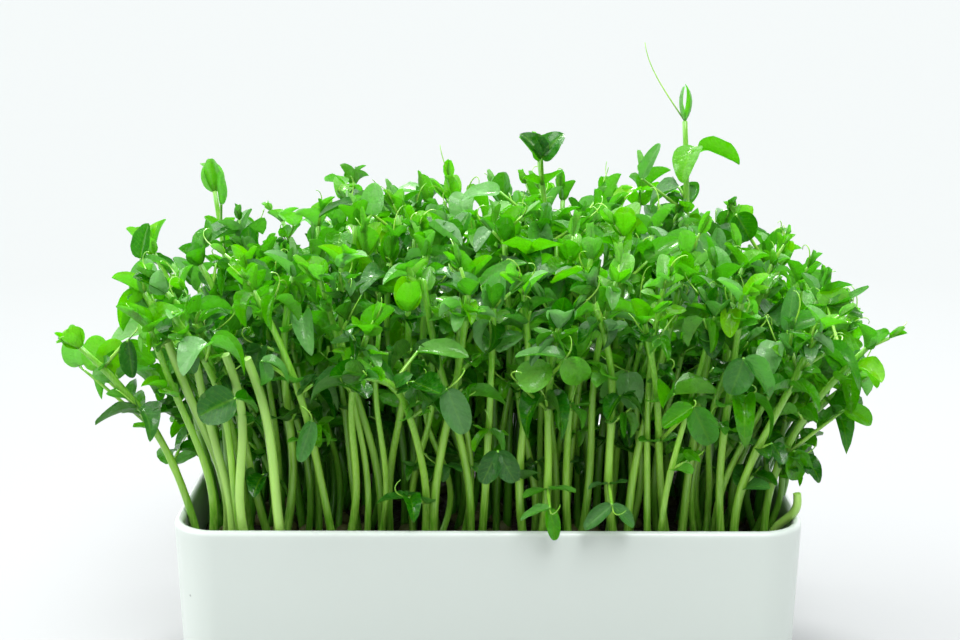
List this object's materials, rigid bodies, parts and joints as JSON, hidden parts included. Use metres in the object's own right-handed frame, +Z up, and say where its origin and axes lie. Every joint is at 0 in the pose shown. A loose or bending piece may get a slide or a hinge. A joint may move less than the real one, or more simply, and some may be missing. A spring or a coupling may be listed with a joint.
{
  "type": "pea shoot microgreens tray",
  "caption": "White rectangular tray with rounded corners, filled with growing medium and a dense stand of leafy pea shoots.",
  "frame": {"origin": "middle of the tray's flat underside", "axes": "+X along the tray's long side, +Y towards its back, +Z up out of the tray"},
  "size_m": [0.2567, 0.1724, 0.1994],
  "materials": {
    "white_plastic": "smooth gloss, moulded",
    "growing_medium": "damp dark fibre and crumb",
    "pea_shoot": "waxy leaf, slightly translucent"
  },
  "bodies": {
    "root": {"tray": "white_plastic", "growing_medium": "growing_medium", "pea_plant_01": "pea_shoot", "pea_plant_02": "pea_shoot", "pea_plant_03": "pea_shoot", "pea_plant_04": "pea_shoot", "pea_plant_05": "pea_shoot", "pea_plant_06": "pea_shoot", "pea_plant_07": "pea_shoot", "pea_plant_08": "pea_shoot", "pea_plant_09": "pea_shoot", "pea_plant_10": "pea_shoot", "pea_plant_11": "pea_shoot", "pea_plant_12": "pea_shoot", "pea_plant_13": "pea_shoot", "pea_plant_14": "pea_shoot", "pea_plant_15": "pea_shoot", "pea_plant_16": "pea_shoot", "pea_plant_17": "pea_shoot", "pea_plant_18": "pea_shoot", "pea_plant_19": "pea_shoot", "pea_plant_20": "pea_shoot", "pea_plant_21": "pea_shoot", "pea_plant_22": "pea_shoot", "pea_plant_23": "pea_shoot", "pea_plant_24": "pea_shoot", "pea_plant_25": "pea_shoot", "pea_plant_26": "pea_shoot", "pea_plant_27": "pea_shoot", "pea_plant_28": "pea_shoot", "pea_plant_29": "pea_shoot", "pea_plant_30": "pea_shoot", "pea_plant_31": "pea_shoot", "pea_plant_32": "pea_shoot", "pea_plant_33": "pea_shoot", "pea_plant_34": "pea_shoot", "pea_plant_35": "pea_shoot", "pea_plant_36": "pea_shoot", "pea_plant_37": "pea_shoot"}
  },
  "joints": []
}
